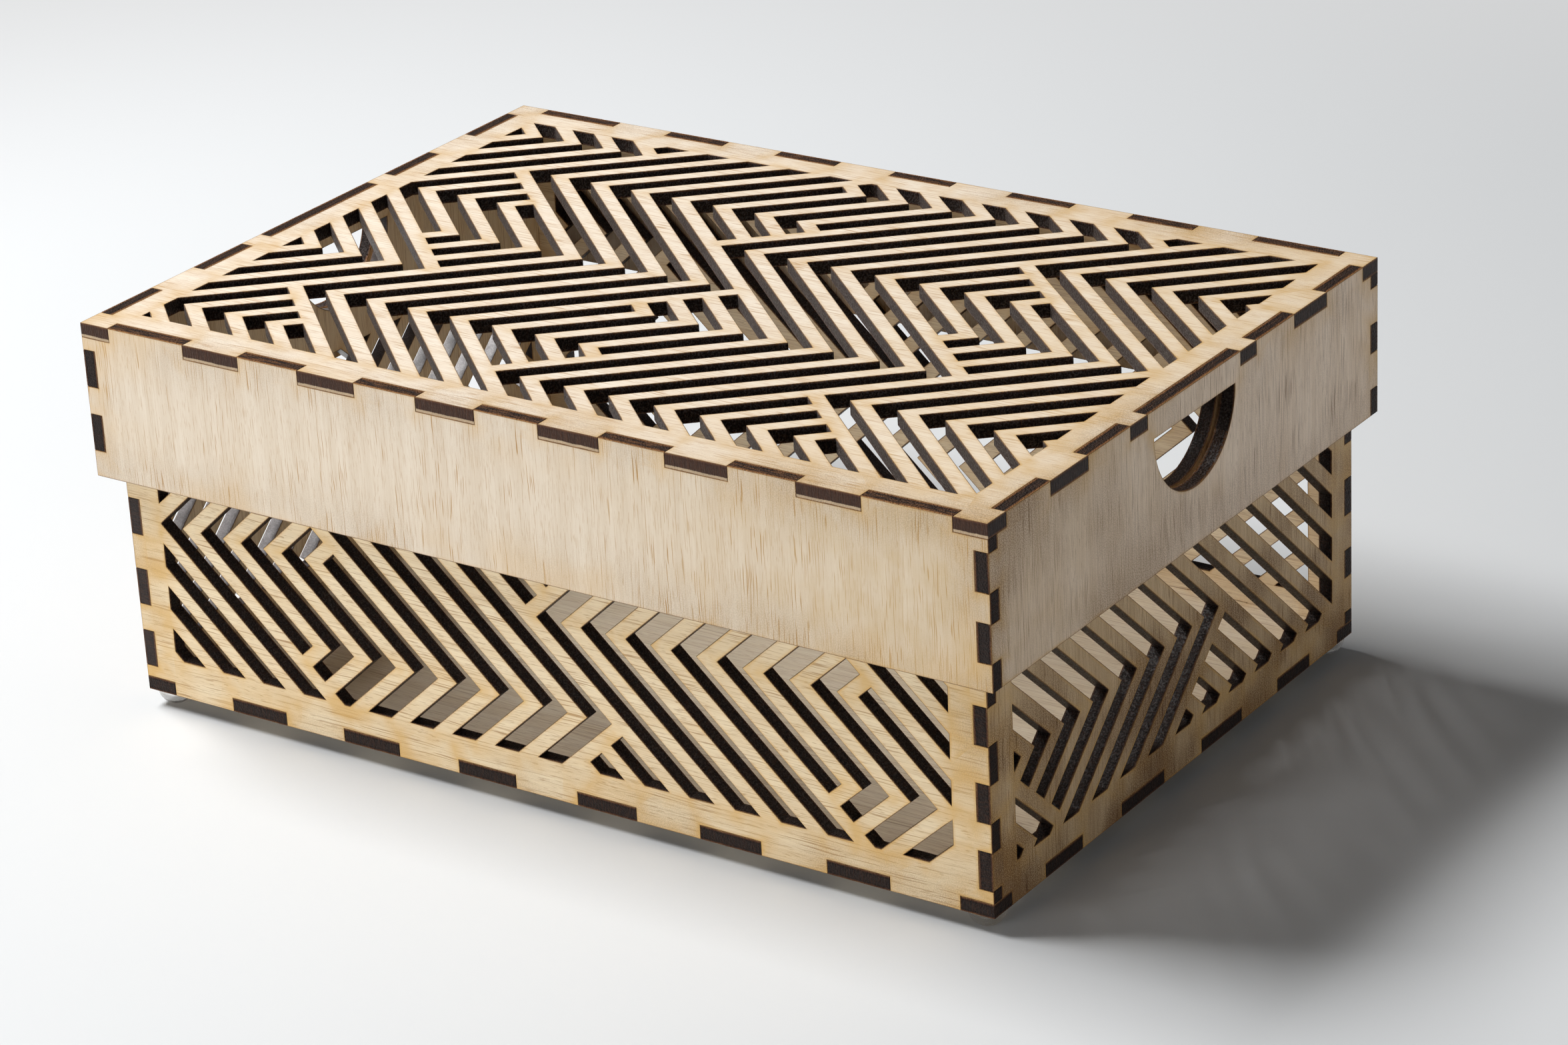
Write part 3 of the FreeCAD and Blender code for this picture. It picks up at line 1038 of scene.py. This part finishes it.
@dataclass
class LiftLid:
    """The lid: a fretwork top with four plain skirts."""

    body: str = "lid"
    top_pale: Colour = (0.96, 0.86, 0.72)
    top_tan: Colour = (0.90, 0.77, 0.61)
    top_pore: Colour = (0.47, 0.25, 0.085)
    top_haze: Colour = (0.82, 0.56, 0.23)
    skirt_pale: Colour = (0.775, 0.677, 0.549)
    skirt_tan: Colour = (0.715, 0.607, 0.475)
    skirt_pore: Colour = (0.46, 0.26, 0.09)
    # The end skirts' tones are paler than the long skirts': painted light for the shaded ends.
    end_pale_with_painted_light: Colour = (0.93, 0.78, 0.63)
    end_tan_with_painted_light: Colour = (0.85, 0.69, 0.535)
    end_pore: Colour = (0.28, 0.175, 0.10)
    tab_core: Colour = (0.030, 0.019, 0.015)
    tab_ember: Colour = (0.22, 0.095, 0.038)
    tab_rim: Colour = (0.45, 0.24, 0.08)

    def build(self) -> list[bpy.types.Object]:
        """Models the top and the skirts.

        Returns:
            The five panels.
        """
        top_veneer = Veneer(
            "lid_top_veneer", Grain.LENGTHWISE, self.top_pale, self.top_tan, self.top_pore,
            streak_share=0.65, streak_length=12.0, streak_width=0.5, streak_start=0.58,
            fleck_share=0.4, amber_share=0.85, soot_and_shade_share=0.4, smoke_and_shade_share=0.6,
            smoke_tint=0.30, haze=self.top_haze, seed=21.0,
        ).material()
        skirt_veneer = Veneer(
            "skirt_veneer", Grain.UPRIGHT, self.skirt_pale, self.skirt_tan, self.skirt_pore,
            streak_share=0.95, streak_length=14.0, streak_width=0.36, streak_start=0.615,
            streak_drift=0.02, fibre_share=0.14, amber_share=0.6, soot_and_shade_share=0.32,
            smoke_and_shade_share=0.8, smoke_tint=0.45, seed=27.0,
        ).material()
        # The end skirts get darker and hazier towards the front.
        end_veneer_with_painted_light = Veneer(
            "end_skirt_veneer_with_painted_light", Grain.UPRIGHT, self.end_pale_with_painted_light, self.end_tan_with_painted_light, self.end_pore,
            streak_share=0.9, streak_length=18.0, streak_width=0.28, streak_start=0.592,
            fibre_share=0.2, amber_share=0.8, soot_and_shade_share=0.5, soot_and_shade_reach=0.6,
            smoke_and_shade_share=0.9, smoke_tint=0.3, smoke_and_shade_axis=Axis.Y, smoke_and_shade_start=60.0, smoke_and_shade_end=-115.0,
            seed=33.0,
        ).material()
        # The end skirts' cut faces carry fewer painted glints than the top's and the long skirts': a
        # shaded copy of the same char.
        level, facing_y, facing_x = (
            CharredEdge(
                "charred_lid_edge_" + name, axis, ember_share=ember, painted_glint_share=share, calm=calm,
                sheen=sheen
            ).material()
            for name, axis, ember, share, calm, sheen in (
                ("level", Axis.Z, 0.3, 0.7, 0.9, 0.22), ("long", Axis.Y, 0.3, 0.9, 0.0, 0.0),
                ("end", Axis.X, 0.12, 0.4, 0.0, 0.0),
            )
        )
        brown_y, brown_x = (
            CharredEdge(
                "browned_tab_" + name, axis, self.tab_core, self.tab_ember, self.tab_rim,
                rim_width=0.14, ember_share=share, line_depth=0.5, line_width=5.0,
            ).material()
            for name, axis, share in (("long", Axis.Y, 0.75), ("end", Axis.X, 0.2))
        )
        sheets = [
            PlySheet("lid_top", self.body, Axis.Z, 1, top_veneer, level),
            PlySheet("lid_front_skirt", self.body, Axis.Y, -1, skirt_veneer, facing_y, brown_y),
            PlySheet("lid_rear_skirt", self.body, Axis.Y, 1, skirt_veneer, facing_y, brown_y),
            PlySheet("lid_right_skirt", self.body, Axis.X, 1, end_veneer_with_painted_light, facing_x, brown_x),
            PlySheet("lid_left_skirt", self.body, Axis.X, -1, end_veneer_with_painted_light, facing_x, brown_x),
        ]
        return [sheet.build() for sheet in sheets]


@dataclass
class DomeFeet:
    """Four clear stick-on feet, each a low dome with a short rim."""

    body: str = "box"
    rim: float = 0.8 * MM
    flat: float = 3.0 * MM
    sides: int = 64
    steps: int = 10
    smooth: float = math.radians(35.0)

    def build(self) -> list[bpy.types.Object]:
        """Models one foot and copies it to the four corners.

        Returns:
            The four feet.
        """
        clear = ClearRubber().material()
        nodes = sorted(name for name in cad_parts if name.startswith("foot_"))
        low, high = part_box(nodes[0])
        pattern = self._dome((high.x - low.x) / 2, high.z)
        pattern.data.materials.append(clear)
        feet = []
        for node in nodes:
            low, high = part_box(node)
            mesh = pattern.data.copy()
            mesh.transform(Matrix.Translation(((low.x + high.x) / 2, (low.y + high.y) / 2, 0.0)))
            foot = bpy.data.objects.new(node + "_dome", mesh)
            bpy.context.scene.collection.objects.link(foot)
            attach(foot, self.body)
            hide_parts(node)
            log.info("%s: %d faces", foot.name, len(mesh.polygons))
            feet.append(foot)
        bpy.data.objects.remove(pattern)
        return feet

    def _dome(self, radius: float, height: float) -> bpy.types.Object:
        """Models a foot at the origin.

        Args:
            radius: half of the foot's diameter.
            height: its height over the table.

        Returns:
            The foot that the others are copied from.
        """
        bpy.ops.object.select_all(action="DESELECT")
        bpy.ops.mesh.primitive_circle_add(
            vertices=self.sides, radius=radius, fill_type="NGON", location=(0.0, 0.0, 0.0)
        )
        foot = bpy.context.object
        foot.data.transform(Matrix.Translation((0.0, 0.0, height)))
        dome = height - self.rim
        flat = self.flat / 2
        centre = (radius ** 2 - flat ** 2 + dome ** 2) / (2 * dome)
        curve = math.hypot(flat, centre)
        wide = math.atan2(radius, centre - dome)
        narrow = math.asin(flat / curve)
        with EditMode(foot, "FACE"):
            bpy.ops.mesh.select_all(action="SELECT")
            self._push(self.rim, 1.0)
            before, level = radius, dome
            for step in range(1, self.steps + 1):
                turn = wide + (narrow - wide) * step / self.steps
                after = curve * math.sin(turn)
                lower = centre - curve * math.cos(turn)
                self._push(level - lower, after / before)
                before, level = after, lower
            bpy.ops.mesh.select_all(action="SELECT")
            bpy.ops.mesh.normals_make_consistent(inside=False)
        bpy.ops.object.shade_smooth_by_angle(angle=self.smooth)
        return foot

    def _push(self, drop: float, shrink: float) -> None:
        """Extrudes the selected disc downwards and resizes it.

        Args:
            drop: how far it goes down.
            shrink: factor on its radius.
        """
        bpy.ops.mesh.extrude_region_move(TRANSFORM_OT_translate={"value": (0.0, 0.0, -drop)})
        bpy.ops.transform.resize(value=(shrink, shrink, 1.0))


@dataclass(frozen=True)
class Softbox:
    """A soft flat light that faces the middle of the box, in metres and watts."""

    name: str
    place: tuple[float, float, float]
    width: float
    height: float
    power: float

    def build(self) -> bpy.types.Object:
        """Adds the light.

        Returns:
            The light's object.
        """
        lamp = bpy.data.lights.new(self.name, "AREA")
        lamp.shape = "RECTANGLE"
        lamp.size = self.width
        lamp.size_y = self.height
        lamp.energy = self.power
        light = bpy.data.objects.new(self.name, lamp)
        light.location = self.place
        light.rotation_mode = "QUATERNION"
        light.rotation_quaternion = (-Vector(self.place)).to_track_quat("-Z", "Y")
        bpy.context.scene.collection.objects.link(light)
        return light


@dataclass
class Studio:
    """White paper, a soft light over the left side, two pale cards and the camera.

    Places are in metres, angles in degrees, and the lens and its sensor in millimetres.
    """

    floor_span: float = 40.0
    lights: tuple[Softbox, ...] = (
        Softbox("overhead_softbox", (-1.22, -0.26, 1.83), 1.3, 0.7, 59.0),
        Softbox("front_card", (-0.38, -1.60, 0.23), 0.9, 0.32, 10.9),
        Softbox("side_card", (1.55, 0.50, 0.18), 0.8, 0.32, 3.6),
    )
    sky: Colour = (0.97, 0.98, 1.0)
    sky_strength: float = 0.06
    camera_place: tuple[float, float, float] = (0.8531, -1.1819, 0.6993)
    camera_heading: float = 35.26
    camera_tilt: float = 23.79
    camera_roll: float = -3.07
    camera_lens: float = 108.6
    camera_sensor: float = 36.0
    camera_near: float = 0.05
    camera_far: float = 50.0

    def build(self) -> None:
        """Sets the floor, the lights and the camera."""
        self._floor()
        self._light()
        self._camera()
        bpy.context.scene.view_settings.view_transform = "Standard"

    def _floor(self) -> None:
        """Lays the paper."""
        bpy.ops.object.select_all(action="DESELECT")
        bpy.ops.mesh.primitive_plane_add(size=self.floor_span)
        paper = bpy.context.object
        paper.name = "paper_floor"
        paper.data.materials.append(PaperSweep().material())

    def _light(self) -> None:
        """Hangs the softbox, stands the cards and lights the world."""
        for light in self.lights:
            light.build()
        world = bpy.data.worlds.new("studio_world")
        world.use_nodes = True
        sky = world.node_tree.nodes["Background"]
        sky.inputs["Color"].default_value = (*self.sky, 1.0)
        sky.inputs["Strength"].default_value = self.sky_strength
        bpy.context.scene.world = world

    def _camera(self) -> None:
        """Puts the camera at the photograph's place."""
        lens = bpy.data.cameras.new("photo_camera")
        lens.sensor_fit = "HORIZONTAL"
        lens.sensor_width = self.camera_sensor
        lens.lens = self.camera_lens
        lens.clip_start = self.camera_near
        lens.clip_end = self.camera_far
        camera = bpy.data.objects.new("photo_camera", lens)
        turn = Matrix.Rotation(math.radians(self.camera_heading), 4, "Z")
        tilt = Matrix.Rotation(math.radians(90.0 - self.camera_tilt), 4, "X")
        roll = Matrix.Rotation(math.radians(self.camera_roll), 4, "Z")
        camera.matrix_world = Matrix.Translation(self.camera_place) @ turn @ tilt @ roll
        bpy.context.scene.collection.objects.link(camera)
        bpy.context.scene.camera = camera


def main() -> None:
    """Builds the box, its feet, the lid and the studio, in that order."""
    logging.basicConfig(level=logging.INFO, format="%(message)s")
    for assembly in (WallBox(), DomeFeet(), LiftLid()):
        made = assembly.build()
        log.info("%s: %d pieces", type(assembly).__name__, len(made))
    Studio().build()


if __name__ == "__main__":
    main()
